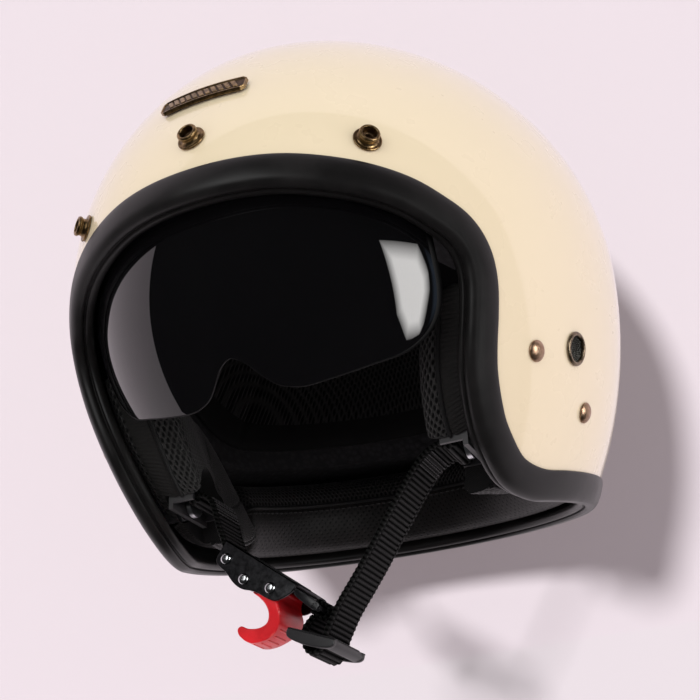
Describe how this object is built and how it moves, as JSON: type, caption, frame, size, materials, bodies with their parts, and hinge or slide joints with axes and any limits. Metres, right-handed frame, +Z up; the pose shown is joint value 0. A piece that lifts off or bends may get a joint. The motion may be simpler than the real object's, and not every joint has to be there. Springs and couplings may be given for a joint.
{
  "type": "open face motorcycle helmet",
  "caption": "Open face motorcycle helmet with rubber edge trim, drop-down inner sun visor, snap studs, padded lining and a chin strap with a ratchet buckle.",
  "frame": {"origin": "middle of the flat bottom rim: x = 0 on the plane of symmetry, z = 0 on the plane the rim rests on, y = 0 where the shell is widest", "axes": "+Z up towards the crown, -Y towards the face opening, +X towards the wearer's left"},
  "size_m": [0.2344, 0.2724, 0.2745],
  "materials": {
    "shell_paint": "glossy cream paint",
    "trim_rubber": "satin",
    "black_plastic": "moulded",
    "impact_foam": null,
    "lining_fabric": "knitted",
    "perforated_leatherette": "perforated, satin",
    "antique_bronze": "antique bronze plating",
    "dark_mesh": "woven wire",
    "zinc_steel": "zinc plated",
    "smoke_lens": "polished dark smoke",
    "white_nylon": "natural nylon",
    "webbing": "ribbed webbing",
    "black_steel": "black oxide",
    "pin_steel": "polished",
    "red_plastic": "moulded, semi gloss"
  },
  "bodies": {
    "helmet": {"outer_shell": "shell_paint", "edge_trim": "trim_rubber", "trim_joint_clip": "black_plastic", "eps_liner": "impact_foam", "crown_pad": "lining_fabric", "brow_pad": "lining_fabric", "cheek_core_left": "impact_foam", "cheek_core_right": "impact_foam", "cheek_pad_left": "lining_fabric", "cheek_pad_right": "lining_fabric", "pad_snap_sockets": "black_plastic", "pad_snap_studs": "black_plastic", "neck_roll": "perforated_leatherette", "badge_plate": "antique_bronze", "badge_adhesive": "black_plastic", "snap_studs": "antique_bronze", "snap_posts": "antique_bronze", "vent_eyelets": "antique_bronze", "vent_meshes": "dark_mesh", "strap_rivets": "antique_bronze", "rivet_washers": "zinc_steel", "anchor_plate_left": "zinc_steel", "anchor_plate_right": "zinc_steel", "visor_bracket_left": "black_plastic", "visor_bracket_right": "black_plastic", "visor_outer_washers": "white_nylon", "visor_inner_washers": "white_nylon", "visor_screws": "zinc_steel"},
    "visor": {"sun_visor": "smoke_lens"},
    "strap": {"strap_hangers": "zinc_steel", "strap_webbing_left": "webbing", "strap_webbing_right": "webbing", "strap_slide": "black_plastic", "buckle_frame": "black_steel", "webbing_pin": "pin_steel", "pawl_pin": "pin_steel", "lever_pin": "pin_steel", "pawl_spring": "pin_steel"},
    "tongue": {"ratchet_tongue": "black_plastic"},
    "pawl": {"ratchet_pawl": "zinc_steel"},
    "lever": {"buckle_lever": "red_plastic"}
  },
  "joints": [
    {"name": "visor_pivot", "type": "hinge", "parent": "helmet", "child": "visor", "pos_m": [0, -0.032, 0.1], "axis": [-1, 0, 0], "range_deg": [0, 45]},
    {"name": "strap_swing", "type": "hinge", "parent": "helmet", "child": "strap", "pos_m": [0, -0.062, 0.024], "axis": [1, 0, 0], "range_deg": [-15, 60]},
    {"name": "lever_pivot", "type": "hinge", "parent": "strap", "child": "lever", "pos_m": [-0.01963, -0.07351, -0.02017], "axis": [0, -0.9677, 0.2521], "range_deg": [0, 30]},
    {"name": "pawl_pivot", "type": "hinge", "parent": "strap", "child": "pawl", "pos_m": [-0.03112, -0.07211, -0.01482], "axis": [0, 0.9677, -0.2521], "range_deg": [0, 12]},
    {"name": "tongue_slide", "type": "slide", "parent": "strap", "child": "tongue", "axis": [0.7986, -0.1517, -0.5824], "range_m": [0, 0.0025]}
  ],
  "couplings": [
    {"joint": "pawl_pivot", "follows": "lever_pivot", "ratio": 0.4}
  ]
}
